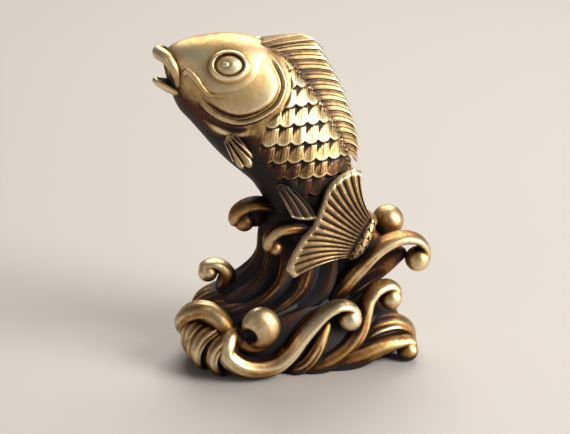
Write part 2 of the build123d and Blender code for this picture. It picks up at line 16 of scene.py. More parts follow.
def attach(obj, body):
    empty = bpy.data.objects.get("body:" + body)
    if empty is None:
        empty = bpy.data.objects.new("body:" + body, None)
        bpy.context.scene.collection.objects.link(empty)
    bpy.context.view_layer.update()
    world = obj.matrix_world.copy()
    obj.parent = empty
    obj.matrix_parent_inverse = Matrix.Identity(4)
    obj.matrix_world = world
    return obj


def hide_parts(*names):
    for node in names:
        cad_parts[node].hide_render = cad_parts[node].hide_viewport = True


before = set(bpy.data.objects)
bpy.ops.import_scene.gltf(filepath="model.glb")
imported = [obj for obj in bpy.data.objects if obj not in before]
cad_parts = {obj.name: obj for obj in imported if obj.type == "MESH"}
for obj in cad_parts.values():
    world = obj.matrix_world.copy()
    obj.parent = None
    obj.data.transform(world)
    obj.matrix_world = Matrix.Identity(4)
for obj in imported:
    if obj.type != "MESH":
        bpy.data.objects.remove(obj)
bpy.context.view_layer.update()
mm = 0.001
print("measured pieces:", len(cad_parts))

# %% [markdown]
# The camera looks down on the ornament from a little above and to the left, as
# when one bends over a table. From far away the ornament would look flat, and
# from near by its front would swell, so the distance is the one that gives the
# same overlaps as the photograph.

# %% Set up the camera
camera_turn, camera_rise, camera_far = math.radians(-12), math.radians(20), 260 * mm
look_at = Vector((-2.3, 0, 25)) * mm
lens = bpy.data.cameras.new("camera")
lens.sensor_width, lens.lens, lens.clip_start = 36, 91.2, 0.01
camera = bpy.data.objects.new("camera", lens)
way = Vector((math.sin(camera_turn) * math.cos(camera_rise),
              -math.cos(camera_turn) * math.cos(camera_rise), math.sin(camera_rise)))
camera.location = look_at + way * camera_far
camera.rotation_euler = way.to_track_quat("Z", "Y").to_euler()
bpy.context.collection.objects.link(camera)
bpy.context.scene.camera = camera
bpy.context.scene.view_settings.view_transform = "Standard"
print("camera at", [round(c / mm) for c in camera.location], "mm")

# %% [markdown]
# Brass shows mostly what it mirrors, so the light is made of large soft panels.
# The main one stands high at the right, and its wide face gives the pale patch
# on the gill plate. A low one beside it reaches the flanks of the waves, and one
# above and behind draws their upper edges. The left side has only a weak warm
# panel, so the throat and the hollows stay dark.


# %% Set up the panels of light
def colour(hex_code):
    """A colour as an artist writes it, turned into the linear values of a render."""
    parts = [int(hex_code[i:i + 2], 16) / 255 for i in (1, 3, 5)]
    return [c / 12.92 if c <= 0.04045 else ((c + 0.055) / 1.055) ** 2.4 for c in parts] + [1.0]


def panel(name, place, size, power, tint):
    """A square soft light that faces the ornament."""
    light = bpy.data.lights.new(name, "AREA")
    light.size, light.energy, light.color = size, power, colour(tint)[:3]
    lamp = bpy.data.objects.new(name, light)
    lamp.location = place
    lamp.rotation_euler = (Vector(place) - Vector((0, 0, 0.03))).to_track_quat("Z", "Y").to_euler()
    bpy.context.collection.objects.link(lamp)


panel("window_light", (0.44, -0.3, 0.4), 0.34, 4.4, "#fffaf2")
panel("wall_light", (0.58, -0.38, 0.1), 0.42, 4.0, "#fffaf0")
panel("top_light", (0.12, 0.42, 0.56), 0.55, 5.0, "#fbf4ea")
panel("left_light", (-0.5, -0.35, 0.25), 0.25, 0.25, "#ffd9b0")
world = bpy.data.worlds.new("studio")
bpy.context.scene.world = world
world.use_nodes = True
world.node_tree.nodes["Background"].inputs["Color"].default_value = colour("#c9c9cc")
world.node_tree.nodes["Background"].inputs["Strength"].default_value = 0.26
print("panels of light:", len(bpy.data.lights))

# %% [markdown]
# Every piece begins as a flat grid, because a grid has even faces that can be
# bent into any sheet, tube or shell. A rule gives the place of each vertex from
# how far along and how far around it is. The edges that meet are then joined,
# so the shell is closed, and its faces are turned outwards.


# %% A grid that is bent into a piece
def through(rows, places):
    """Points on a smooth curve through the rows, for places from 0 to 1."""
    rows = np.array(rows, float)
    knots = np.concatenate([[0], np.cumsum(np.linalg.norm(np.diff(rows, axis=0), axis=1))])
    return between(knots / knots[-1], rows, places)


def between(knots, rows, places):
    """Smooth values at the places, from the rows that are known at the knots."""
    knots, rows = np.array(knots, float), np.array(rows, float)
    slopes = np.gradient(rows, knots, axis=0)
    places = np.clip(places, knots[0], knots[-1])
    at = np.clip(np.searchsorted(knots, places, side="right") - 1, 0, len(knots) - 2)
    gap = knots[at + 1] - knots[at]
    f = (places - knots[at]) / gap
    if rows.ndim == 2:
        f, gap = f[..., None], gap[..., None]
    return ((2 * f**3 - 3 * f**2 + 1) * rows[at] + (f**3 - 2 * f**2 + f) * gap * slopes[at]
            + (3 * f**2 - 2 * f**3) * rows[at + 1] + (f**3 - f**2) * gap * slopes[at + 1])


def unit(rows):
    """The rows as directions of length one."""
    return rows / np.maximum(np.linalg.norm(rows, axis=-1, keepdims=True), 1e-9)


join_gap = 0.002
sharp_turn = math.radians(75)


def bend_grid(shape, along, around, place):
    """Adds a grid to the mesh and moves each vertex to place(u, v), in millimetres."""
    made = bmesh.ops.create_grid(shape, x_segments=along, y_segments=around, size=0.5)["verts"]
    flat = np.array([v.co[:2] for v in made]) + 0.5
    for vertex, spot in zip(made, place(flat[:, 0], flat[:, 1])):
        vertex.co = spot
    bmesh.ops.remove_doubles(shape, verts=made, dist=join_gap)


def fill_openings(shape):
    """Closes the rims that are still open."""
    bmesh.ops.holes_fill(shape, edges=[edge for edge in shape.edges if edge.is_boundary], sides=0)


pieces, slots = {}, {}


def finish_piece(name, shape, nodes, slot):
    """Turns a mesh worked in millimetres into a named piece of the ornament."""
    bmesh.ops.recalc_face_normals(shape, faces=shape.faces)
    for vertex in shape.verts:
        vertex.co = Vector((vertex.co.x, vertex.co.y, max(vertex.co.z, 0))) * mm
    mesh = bpy.data.meshes.new(name)
    shape.to_mesh(mesh)
    shape.free()
    mesh.shade_smooth()
    mesh.set_sharp_from_angle(angle=sharp_turn)
    piece = bpy.data.objects.new(name, mesh)
    bpy.context.collection.objects.link(piece)
    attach(piece, "root")
    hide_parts(*nodes)
    pieces[name], slots[name] = piece, slot
    print(name, "has", len(mesh.polygons), "faces")
    return piece


# %% [markdown]
# The fish is one swelling form from the snout to where it enters the waves.
# Rounded sections stand on its outline: each joins a place on the back to a
# place on the belly. They stand upright at the snout and lie level at the seat,
# as the fish bends. A smooth form like this could be sculpted, but with
# sections each change of the outline stays one number.

# %% The outline of the fish
# Each row in millimetres: back x and z, belly x and z, half thickness
fish_rows = [
    (-23.4, 56.3, -22.6, 50.7, 2.7), (-21.6, 57.7, -22.1, 48.9, 3.5), (-19.3, 58.5, -21.0, 46.4, 4.7),
    (-16.5, 59.0, -19.0, 44.0, 5.9), (-12.2, 59.2, -17.0, 41.5, 6.9), (-8.4, 58.5, -15.0, 39.0, 7.4),
    (-4.9, 57.1, -12.6, 36.4, 7.6), (-1.6, 54.9, -10.4, 34.4, 7.6), (1.2, 51.3, -8.5, 32.6, 7.5),
    (4.2, 46.9, -7.4, 31.0, 7.5), (6.8, 42.5, -6.5, 29.5, 7.4), (8.7, 38.0, -5.9, 27.9, 7.2),
    (9.9, 33.4, -5.4, 26.6, 6.8), (10.3, 29.0, -5.1, 25.4, 6.4), (10.3, 24.2, -5.0, 23.6, 6.1),
    (10.0, 21.0, -4.6, 20.6, 5.8),
]
gill_rim = [(-6.6, 58.2), (-5.2, 56.6), (-4.1, 54.8), (-3.2, 52.6), (-3.0, 50.9), (-3.6, 49.2), (-4.8, 47.4),
            (-6.9, 46.0), (-9.4, 44.9), (-11.9, 44.5), (-14.5, 45.1), (-17.2, 46.6), (-19.6, 48.6)]
rim_path = np.array(through(gill_rim, np.linspace(0, 1, 120)))


def fish_section(station, turn):
    """A place on the smooth fish, and its outward direction."""
    back_x, back_z, belly_x, belly_z, half = between(range(len(fish_rows)), fish_rows, station).T
    dx, dz = (back_x - belly_x) / 2, (back_z - belly_z) / 2
    cos, sin = np.cos(turn), np.sin(turn)
    spot = np.stack([(back_x + belly_x) / 2 + dx * cos, half * sin, (back_z + belly_z) / 2 + dz * cos], 1)
    depth = np.hypot(dx, dz)
    out = np.stack([dx / depth**2 * cos, sin / half, dz / depth**2 * cos], 1)
    return spot, unit(out)


def from_rim(spot):
    """How far outside the rim of the gill plate a place lies, seen from the side."""
    step = spot[:, None, [0, 2]] - rim_path[None]
    near = np.argmin((step**2).sum(2), 1)
    pick = np.clip(near, 1, len(rim_path) - 2)
    way_on = rim_path[pick + 1] - rim_path[pick - 1]
    gap = step[np.arange(len(spot)), near]
    side = np.sign(way_on[:, 0] * gap[:, 1] - way_on[:, 1] * gap[:, 0])
    return side * np.linalg.norm(gap, axis=1), near / len(rim_path)


print("the fish has", len(fish_rows), "sections")

# %% [markdown]
# The scales lie in level rows, and each row covers the top of the next. Each
# scale rises to a round lower edge, and where two of them meet over the next
# row a small pit is left, which holds the dark finish. The scales could be
# hundreds of small pieces, but this is a casting, so they are one relief that
# pushes the skin out. The throat stays plain, and a strip next to the back fin
# is only rough.


# %% The relief of the scales
def bump(value, middle, width):
    """A round bump, one high, around a value."""
    return np.exp(-(((value - middle) / width) ** 2))


def ramp(value, low, high):
    """A soft step from 0 at low to 1 at high."""
    f = np.clip((value - low) / (high - low), 0, 1)
    return f * f * (3 - 2 * f)


scale_width, scale_rise, column_slant = 2.5, 0.6, 0.17
# the height of each row's lower edge, the line of the back as rows of x and z,
# and where the plain throat ends, as rows of z and x
row_edges = [62, 59.5, 56.6, 53.6, 50.4, 47.2, 43.9, 40.6, 37.4, 34.4, 31.2, 28.2, 25.2, 22, 19]
back_line = np.array([row[:2] for row in fish_rows[14:5:-1]])
throat_line = np.array([(28, -2.5), (31, -3), (33, -4.8), (36.5, -7.6), (41, -8.2), (44, -7.0), (47, -5.8)])


def scale_relief(spot):
    """How far the scales push out the skin of the fish."""
    x, y, z = spot.T
    level = z + 1.2 * (1 - np.abs(y) / 7.5)
    row = np.interp(-level, [-edge for edge in row_edges], range(len(row_edges)))
    column = (x + 0.1 - column_slant * (z - 43.5)) / scale_width
    across, down = column - np.floor(column), row - np.floor(row)
    corner = np.abs(2 * across - 1)
    edge = 1 - 0.2 * corner**2
    on_scale = ramp(edge - down, -0.03, 0.09)
    height = 0.3 + 0.7 * np.clip(down / edge, 0, 1) ** 1.2
    # the upper left corner of each scale sinks into a three-cornered pit
    pit = 0.55 * ramp(1.0 - across / 0.6 - down / 0.62, 0, 0.7) * ramp(across, 0.0, 0.1)
    swell = 0.22 * bump(across, 0.72, 0.2) * (1 - 0.5 * down)
    lines = 0.03 * np.cos(2 * math.pi * across * 5) * ramp(0.8 - down, 0, 0.3)
    lift = scale_rise * (on_scale * (height + swell) - 0.25 - pit + lines)
    gap, _ = from_rim(spot)
    back_x = np.interp(z, back_line[:, 1], back_line[:, 0])
    throat_x = np.interp(z, throat_line[:, 0], throat_line[:, 1])
    keep = ramp(x - throat_x, -0.8, 1.2) * ramp(back_x - x, 0.7, 1.6) * ramp(gap, 0.5, 1.0)
    # a rough strip beside the back fin
    rough = (np.sin(7.1 * x + 3.3 * z) * np.sin(4.3 * z - 5.1 * x + 2 * y) + 0.6 * np.sin(13.7 * z + 3.1 * x * x)
             ) * 0.12 * ramp(x - back_x, -1.8, -0.9) * (z < 55)
    return lift * keep + rough


def throat_fold(spot):
    """The fold of skin below the gill plate."""
    gap, place = from_rim(spot)
    low = ramp(place, 0.5, 0.62) * ramp(-spot[:, 0], 8.5, 12.5) * ramp(spot[:, 0], -18.5, -14)
    return low * (0.3 * bump(gap, 1.75, 0.7) - 0.2 * bump(gap, 0.85, 0.35) - 0.15 * bump(gap, 2.9, 0.7))


def fish_skin(station, turn):
    """A place on the fish with its scales and folds."""
    spot, out = fish_section(station, turn)
    return spot + out * (scale_relief(spot) + throat_fold(spot))[:, None]


# the row of the outline where the head ends and the body begins
head_end = 6


def body_place(u, v):
    """The body, from the head to its seat in the waves."""
    station = np.interp(u, [0.005, 0.995], [head_end, len(fish_rows) - 1])
    spot = fish_skin(station, 2 * math.pi * v)
    spot[u < 0.003] = (-8.5, 0, 47)
    spot[u > 0.997] = (2.7, 0, 21)
    return spot


body = bmesh.new()
bend_grid(body, 250, 340, body_place)
finish_piece("scaled_body", body, ["fish_body"], "fish_brass")

# %% [markdown]
# The head is smooth and was rubbed bright by hands. Its mouth gapes, so the
# skin turns inwards at the snout and runs back as a dark funnel. One grid makes
# both: its first rows are the inside of the mouth.


# %% The head and the inside of the mouth
mouth_share = 0.16


def head_place(u, v):
    """The funnel of the mouth first, then the head from the snout to the body."""
    turn = 2 * math.pi * v
    spot = fish_skin(np.interp(u, [mouth_share, 0.99], [0, head_end]), turn)
    inward = np.clip(1 - u / mouth_share, 0, 1)[:, None]
    funnel = np.array([-23.8, 0, 53.9]) + np.array([4.2, 0, -0.6]) * inward**1.5
    spot = spot + (funnel - spot) * (inward**0.55)
    spot[u < 0.002] = (-19.6, 0, 53.3)
    spot[u > 0.995] = (-9.5, 0, 47)
    return spot


head = bmesh.new()
bend_grid(head, 200, 180, head_place)
finish_piece("carp_head", head, ["fish_head"], "fish_brass")

# %% [markdown]
# The gill plate is the round cheek with a rolled rim. It is drawn from the
# middle of the cheek outwards, so the rim and the groove inside it follow its
# edge exactly. The plate lies on the head: a ray from the side finds the skin
# below each of its places.


# %% The gill plates
def on_skin(tree, x, z, side):
    """The places on the skin at x and z, and their outward directions."""
    spots, outs = [], []
    for px, pz in zip(x, z):
        hit, out, _, _ = tree.ray_cast(Vector((px, 40 * side, pz)), Vector((0, -side, 0)))
        spots.append(hit if hit else Vector((px, 0, pz)))
        outs.append(out if hit else Vector((0, side, 0)))
    return np.array(spots), np.array(outs)


def smooth_side(x, z, side):
    """The smooth fish at x and z on one side, by walking to the right section."""
    long, high = 220, 200
    stations, turns = np.meshgrid(np.linspace(0, 10, long), np.linspace(0.02, math.pi - 0.02, high))
    spot, _ = fish_section(stations.ravel(), turns.ravel())
    corners = [i * long + j for i in range(high - 1) for j in range(long - 1)]
    tree = BVHTree.FromPolygons([Vector(s) for s in spot], [(c, c + 1, c + long + 1, c + long) for c in corners])
    spots, outs = on_skin(tree, x, z, 1)
    outs *= np.sign(outs[:, 1:2])
    return spots * (1, side, 1), outs * (1, side, 1)


cheek_front = [(-19.6, 48.6), (-19.4, 50.2), (-17.6, 51.2), (-14.8, 51.6), (-11.6, 52.2), (-9.2, 54.0),
               (-8.4, 56.6), (-7.6, 58.0), (-6.6, 58.2)]


def gill_plate(name, node, side):
    """One gill plate, from the middle of the cheek to its rim."""
    outline = np.array(through(gill_rim + cheek_front[1:], np.linspace(0, 1, 400)))
    middle = np.array([-9.0, 50.2])
    front_path = np.array(through(cheek_front, np.linspace(0, 1, 60)))

    def place(u, v):
        rim_spot = outline[(v * (len(outline) - 1)).astype(int)]
        flat = middle + u[:, None] ** 0.7 * (rim_spot - middle)
        spot, out = smooth_side(flat[:, 0], flat[:, 1], side)
        gap, _ = from_rim(spot)
        ahead = np.sqrt(((flat[:, None] - front_path[None]) ** 2).sum(2)).min(1)
        fade = ramp(ahead, 0.2, 6.0) * ramp(57.8 - flat[:, 1], 0, 4)
        roll_up = 0.5 * bump(-gap, 0.7, 0.45) - 0.12 * bump(-gap, 1.45, 0.25)
        lift = (0.45 * ramp(-gap, 1.4, 2.6) + roll_up + 0.08) * fade - 0.03
        # the rim turns down to the head, and the last ring sinks into it
        lift = np.where(-gap < 0.25, np.minimum(lift, 0.3 * fade - 0.5 * ramp(0.25 + gap, 0, 0.4)), lift)
        lift = np.where(u > 0.999, -0.7, lift)
        return spot + out * lift[:, None]

    plate = bmesh.new()
    bend_grid(plate, 90, 260, place)
    fill_openings(plate)
    finish_piece(name, plate, [node], "fish_brass")


gill_plate("gill_plate_near", "gill_plate_left", -1)
gill_plate("gill_plate_far", "gill_plate_right", 1)

# %% [markdown]
# Each eye has a raised ring, a dark groove, and a dome. The pupil of the real one
# is a tiny spiral, which is drawn here as a ring cut into the dome. Such a form
# is nearly round, so a grid is wrapped into rings and each ring gets its height
# from one profile.

# %% The eyes
eye_middle, eye_long, eye_high = (-13.2, 6.1, 55.0), 3.5, 2.75
eye_profile = [(0.0, 0.95), (0.2, 0.9), (0.4, 0.76), (0.54, 0.55), (0.62, 0.3), (0.66, 0.16), (0.7, 0.34),
               (0.77, 0.62), (0.86, 0.6), (0.95, 0.3), (1.0, 0.0), (1.06, -0.6)]


def eye(name, node, side):
    """One eye, square to the slope of the head."""
    look = unit(np.array([-0.12, side * 0.86, 0.5]))
    long_way = unit(np.array([1.0, 0.0, -0.1]) - look * np.dot([1.0, 0.0, -0.1], look))
    high_way = np.cross(look, long_way) * -side

    def place(u, v):
        radius, angle = u * eye_profile[-1][0], 2 * math.pi * v
        a, b = radius * np.cos(angle), radius * np.sin(angle)
        height = np.interp(radius, *zip(*eye_profile))
        swirl = np.hypot((a + 0.2) / 0.26, b / 0.24)
        height = height - 0.16 * bump(swirl, 0.8, 0.3) * (radius < 0.6)
        return (np.array(eye_middle) * (1, side, 1) + np.outer(a * eye_long, long_way)
                + np.outer(b * eye_high, high_way) + np.outer(height * 0.95, look))

    ball = bmesh.new()
    bend_grid(ball, 60, 96, place)
    fill_openings(ball)
    finish_piece(name, ball, [node], "fish_brass")


eye("eye_near", "eye_left", -1)
eye("eye_far", "eye_right", 1)

# %% [markdown]
# Lips, whiskers and the strands of water are all rolls that follow a curve and
# swell and shrink on the way. One rule bends a grid into such a roll. At each
# place on the curve it sets up a small frame, whose width lies along an axis
# that the piece is given, so a flat roll doesn't twist by itself.


# %% A roll along a curve
# Where the hollow of a roll lies, as an angle around it
inner_side, outer_side = 1.5 * math.pi, 0.5 * math.pi


def roll(shape, points, axis, wide, thick, along, around, hollow=(0, 0, 1), lines=0):
    """Adds a closed roll through the points. wide and thick are rows of (place, half size)."""
    points = np.array(points, float)
    length = np.linalg.norm(np.diff(points, axis=0), axis=1).sum()

    def place(u, v):
        at = (1 - np.cos(math.pi * u)) / 2 * 0.35 + u * 0.65
        spot = through(points, at)
        ahead = unit(through(points, at + 0.004) - through(points, at - 0.004))
        lean = np.array(axis[0], float) + np.outer(at, np.subtract(axis[1], axis[0]))
        side = unit(lean - ahead * (ahead * lean).sum(1)[:, None])
        up = np.cross(ahead, side)
        half_wide, half_thick = between(*zip(*wide), at), between(*zip(*thick), at)
        end = np.minimum(at, 1 - at) * length / np.maximum(half_thick, 0.1)
        swell = np.sqrt(np.clip(1 - (1 - np.clip(end, 0, 1)) ** 2, 0, 1))
        turn = 2 * math.pi * v
        depth, where, width = hollow
        away = np.abs((turn - where + math.pi) % (2 * math.pi) - math.pi)
        sunk = 1 - depth * bump(away, 0, width) * ramp(at, 0.3, 0.55) * ramp(1 - at, 0.02, 0.15)
        drawn = 1 + lines * np.cos(9 * turn) * ramp(at, 0.05, 0.2) * ramp(0.75 - at, 0, 0.3)
        half_wide, half_thick = half_wide * drawn, half_thick * sunk * drawn
        return (spot + side * (half_wide * swell * np.cos(turn))[:, None]
                + up * (half_thick * swell * np.sin(turn))[:, None])

    bend_grid(shape, along, around, place)


def cast_together(piece, grain, rounds):
    """Melts the overlapping forms of a piece into one skin, with soft inner corners."""
    melt = piece.modifiers.new("melt", "REMESH")
    melt.mode, melt.voxel_size, melt.use_smooth_shade = "VOXEL", grain * mm, True
    soften = piece.modifiers.new("soften", "SMOOTH")
    soften.factor, soften.iterations = 0.5, rounds
    graph = bpy.context.evaluated_depsgraph_get()
    mesh = bpy.data.meshes.new_from_object(piece.evaluated_get(graph))
    mesh.name = piece.name
    piece.modifiers.clear()
    old, piece.data = piece.data, mesh
    bpy.data.meshes.remove(old)
    mesh.shade_smooth()


# %% [markdown]
# The upper lip is a thick roll bent over the mouth. The lower lip juts out
# below it like a spout, so its roll is pointed and hollow on top. A whisker
# droops from each corner of the mouth and lies on the cheek.

# %% The lips and the whiskers
upper_lip = [(-21.3, -2.9, 50.8), (-21.5, -3.3, 52.6), (-22.1, -3.2, 54.3), (-22.9, -2.5, 55.6), (-23.7, -1.3, 56.2),
             (-24.2, 0, 56.3)]
lip = bmesh.new()
lip_path = upper_lip + [(x, -y, z) for x, y, z in upper_lip[-2::-1]]
lip_wide = [(0, 0.6), (0.2, 0.95), (0.5, 1.1), (0.8, 0.95), (1, 0.6)]
roll(lip, lip_path, [(1, 0, 0.3)] * 2, lip_wide, [(at, 1.1 * size) for at, size in lip_wide], along=140, around=36)
finish_piece("roll_upper_lip", lip, ["upper_lip"], "fish_brass")
spout = bmesh.new()
roll(spout, [(-19.6, 0, 49.3), (-21.6, 0, 50.2), (-23.6, 0, 51.0), (-25.4, 0, 51.8)], [(0, 1, 0)] * 2,
     [(0, 2.9), (0.3, 3.2), (0.6, 2.5), (0.85, 1.5), (1, 0.8)], [(0, 1.3), (0.5, 1.25), (0.85, 0.85), (1, 0.6)],
     along=120, around=60, hollow=(0.7, inner_side, 0.75))
cast_together(finish_piece("roll_lower_lip", spout, ["lower_lip"], "fish_brass"), grain=0.12, rounds=3)

whisker = [(-20.9, 53.4), (-20.0, 53.9), (-18.9, 53.0), (-17.9, 51.5), (-16.8, 50.3), (-15.4, 50.0), (-13.9, 49.6)]
for name, node, side in (("whisker_near", "barbel_left", -1), ("whisker_far", "barbel_right", 1)):
    line = np.array(through(whisker, np.linspace(0, 1, 24)))
    spots, outs = smooth_side(line[:, 0], line[:, 1], side)
    strand = bmesh.new()
    sizes = [(0, 0.68), (0.2, 0.66), (0.5, 0.56), (0.8, 0.46), (1, 0.25)]
    roll(strand, spots - outs * 0.18, [(0, 1, 0)] * 2, sizes, sizes, along=90, around=24)
    finish_piece(name, strand, [node], "fish_brass")

# %% [markdown]
# A fin is a thin web with thick rays. It is drawn between the line where it
# grows out of the fish and its free edge, and each ray stands proud on both
# faces and ends in a small round tip. A bend term lets the rays curve on their
# way, as they do in water.


# %% A fin with rays
def fin(name, node, roots, edges, rays, thick, bow, along, across, relief, cut, fine=0, rim=0, leafy=False):
    """A rayed fin between a root line and an edge line, thick at the root and the edge."""
    roots, edges = np.array(roots, float), np.array(edges, float)
    root_thick, edge_thick = thick
    outward = np.array([0, -1 if edges[:, 1].mean() <= 0 else 1, 0])

    def place(u, v):
        near = v < 0.5
        out = np.where(near, v * 2, 2 - v * 2)
        root, edge = through(roots, u), through(edges, u)
        phase = rays * u - np.floor(rays * u)
        wave = np.abs(np.cos(math.pi * rays * u)) ** 0.7
        if leafy:
            # each ray rises slowly and then drops into a groove, like a row of leaves
            wave = np.clip(np.minimum(0.35 + 0.65 * phase / 0.85, np.minimum(phase / 0.07, (1 - phase) / 0.13)), 0, 1)
        reach = (1 - cut * (1 - wave) * out**2) * out
        bend = np.array(bow[0]) + np.outer(u, np.subtract(bow[1], bow[0]))
        spot = root + (edge - root) * reach[:, None] + (4 * reach * (1 - reach))[:, None] * bend
        along_ray = unit(edge - root)
        face = unit(outward - along_ray * (along_ray @ outward)[:, None])
        half = (root_thick + (edge_thick - root_thick) * out) / 2
        groove = relief * (1 - wave) + fine * (1 - np.abs(np.cos(3 * math.pi * rays * u)) ** 0.5)
        on_rim = bump(out, 0.95, 0.05) + bump(np.minimum(u, 1 - u), 0.0, 0.02) * (out > 0.2)
        half = np.maximum(half - groove * ramp(out, 0.02, 0.2) * (1 - 0.85 * on_rim * (rim > 0)) + rim * on_rim, 0.12)
        end = np.sqrt(np.clip(1 - ((out - 0.93) / 0.07).clip(0, 1) ** 2, 0, 1))
        border = np.sqrt(np.clip(np.minimum(u, 1 - u) / 0.01, 0, 1))
        return spot + face * (np.where(near, 1, -1) * half * end * border)[:, None]

    web = bmesh.new()
    bend_grid(web, along, across, place)
    fill_openings(web)
    finish_piece(name, web, [node], "fin_brass")


# %% [markdown]
# The back fin is a tall comb, whose rays are thick at the root like the leaves
# of a palm. The breast fins are small and round, and the belly fins thin and
# dark. The far side is the near side, mirrored.

# %% The fins
back_root = [(-9.0, 57.4), (-5.2, 56.2), (-3.0, 54.3), (-0.8, 51.7), (1.2, 48.8), (3.0, 46.0), (4.6, 43.3),
             (5.8, 41.0), (6.7, 38.6), (7.3, 36.2)]
back_edge = [(1.6, 58.5), (3.6, 57.1), (5.1, 54.4), (6.6, 51.6), (8.0, 48.9), (9.2, 45.7), (10.2, 42.6),
             (10.9, 39.8), (11.2, 36.4), (10.8, 34.2)]
fin("back_fin", "dorsal_fin", [(x, 0, z) for x, z in back_root], [(x, 0, z) for x, z in back_edge],
    12, (5.6, 1.8), bow=((0.2, 0, 0.3), (0.3, 0, 1.0)), along=480, across=80, relief=0.75, cut=0.16,
    fine=0.1, leafy=True)

for side_name, side in (("left", -1), ("right", 1)):
    name = "near" if side < 0 else "far"
    fin("breast_fin_" + name, "pectoral_fin_" + side_name,
        [(x, y * side, z) for x, y, z in [(-14.2, 5.6, 41.5), (-13.7, 6.0, 42.6), (-12.4, 6.4, 43.2)]],
        [(x, y * side, z) for x, y, z in [(-13.0, 6.8, 38.5), (-11.8, 7.4, 37.3), (-10.3, 8.0, 37.1),
                                           (-9.5, 8.3, 38.3), (-9.8, 8.2, 39.9), (-10.8, 7.8, 41.3)]],
        4, (2.0, 1.7), bow=((0, side * 0.6, 0), (0, side * 0.6, 0)), along=160, across=60, relief=0.55, cut=0.2)
    fin("belly_fin_" + name, "pelvic_fin_" + side_name,
        [(x, y * side, z) for x, y, z in [(-5.2, 5.6, 32.9), (-4.3, 6.2, 33.5), (-3.2, 6.6, 33.2)]],
        [(x, y * side, z) for x, y, z in [(-2.7, 7.9, 27.6), (-1.2, 8.2, 27.2), (0.3, 8.4, 27.1), (1.8, 8.5, 27.3)]],
        3, (1.5, 1.1), bow=((0, side * 0.3, 0), (0.3, side * 0.3, 0.5)), along=160, across=60, relief=0.3, cut=0,
        rim=0.12)

# %% [markdown]
# The tail breaks out of the waves at the right, folds over the front, and opens
# into two lobes. A short thick stem carries it, and the last small scales of the
# fish mark where the rays begin.

# %% The tail
tail_roots = [(12.1, -5.9, 26.2), (11.3, -6.5, 24.9), (10.3, -6.9, 23.4), (9.3, -7.1, 21.8), (8.3, -7.0, 20.4),
              (7.4, -6.8, 19.2)]
tail_edges = [(10.0, -6.3, 34.9), (8.8, -6.7, 35.5), (7.0, -7.2, 35.2), (5.3, -7.7, 34.5), (3.5, -8.3, 33.0),
              (2.2, -8.8, 30.0), (0.8, -9.3, 26.8), (-1.6, -9.8, 24.2), (-3.5, -10.1, 20.9), (-4.3, -10.4, 18.8),
              (-3.3, -10.4, 17.3)]
fin("tail_fan", "tail_fin", tail_roots, tail_edges, 15, (2.0, 1.4), bow=((-0.9, -0.9, -0.1), (0.0, -0.9, 1.2)),
    along=560, across=110, relief=0.4, cut=0, fine=0.04, rim=0.05)


def stem_scales(u, v):
    """Small overlapping scales, as places on the unrolled stem."""
    row = u * 7
    column = v * 9 + 0.5 * (np.floor(row) % 2)
    across, down = column - np.floor(column), row - np.floor(row)
    edge = 1 - 0.6 * np.abs(2 * across - 1) ** 2
    return 0.35 * (ramp(edge - down, -0.1, 0.1) * (0.4 + 0.6 * down) - 0.3)


stem_line = [(12.6, -5.2, 26.6), (11.5, -5.5, 24.9), (10.3, -5.7, 22.9), (9.1, -5.7, 20.9), (7.4, -5.2, 18.2)]


def stem_place(u, v):
    """The stem, rounded off at both ends."""
    spot = through(stem_line, u)
    ahead = unit(through(stem_line, u + 0.01) - through(stem_line, u - 0.01))
    side = np.cross(ahead, [0, 1, 0])
    half_wide, half_deep = between([0, 0.4, 0.8, 1], [(1.0, 2.0), (1.75, 3.1), (1.6, 2.9), (1.0, 1.8)], u).T
    swell = np.sqrt(np.clip(1 - (1 - np.clip(np.minimum(u, 1 - u) / 0.1, 0, 1)) ** 2, 0, 1))
    lift = stem_scales(u, v) * swell
    turn = 2 * math.pi * v
    return (spot + side * ((half_wide * swell + lift) * np.cos(turn))[:, None]
            + np.outer((half_deep * swell + lift) * np.sin(turn), [0, 1, 0]))


stem = bmesh.new()
bend_grid(stem, 160, 200, stem_place)
finish_piece("tail_root", stem, ["tail_stem"], "fin_brass")

# %% [markdown]
# The waves are strands of water that rise from the base and curl over. Each is
# a roll that ends in a ball, tucked into its own curl. Roll and ball are melted
# into one skin with a voxel remesh, because the metal of a casting fills such
# corners, and no edge between them shows on the real piece.

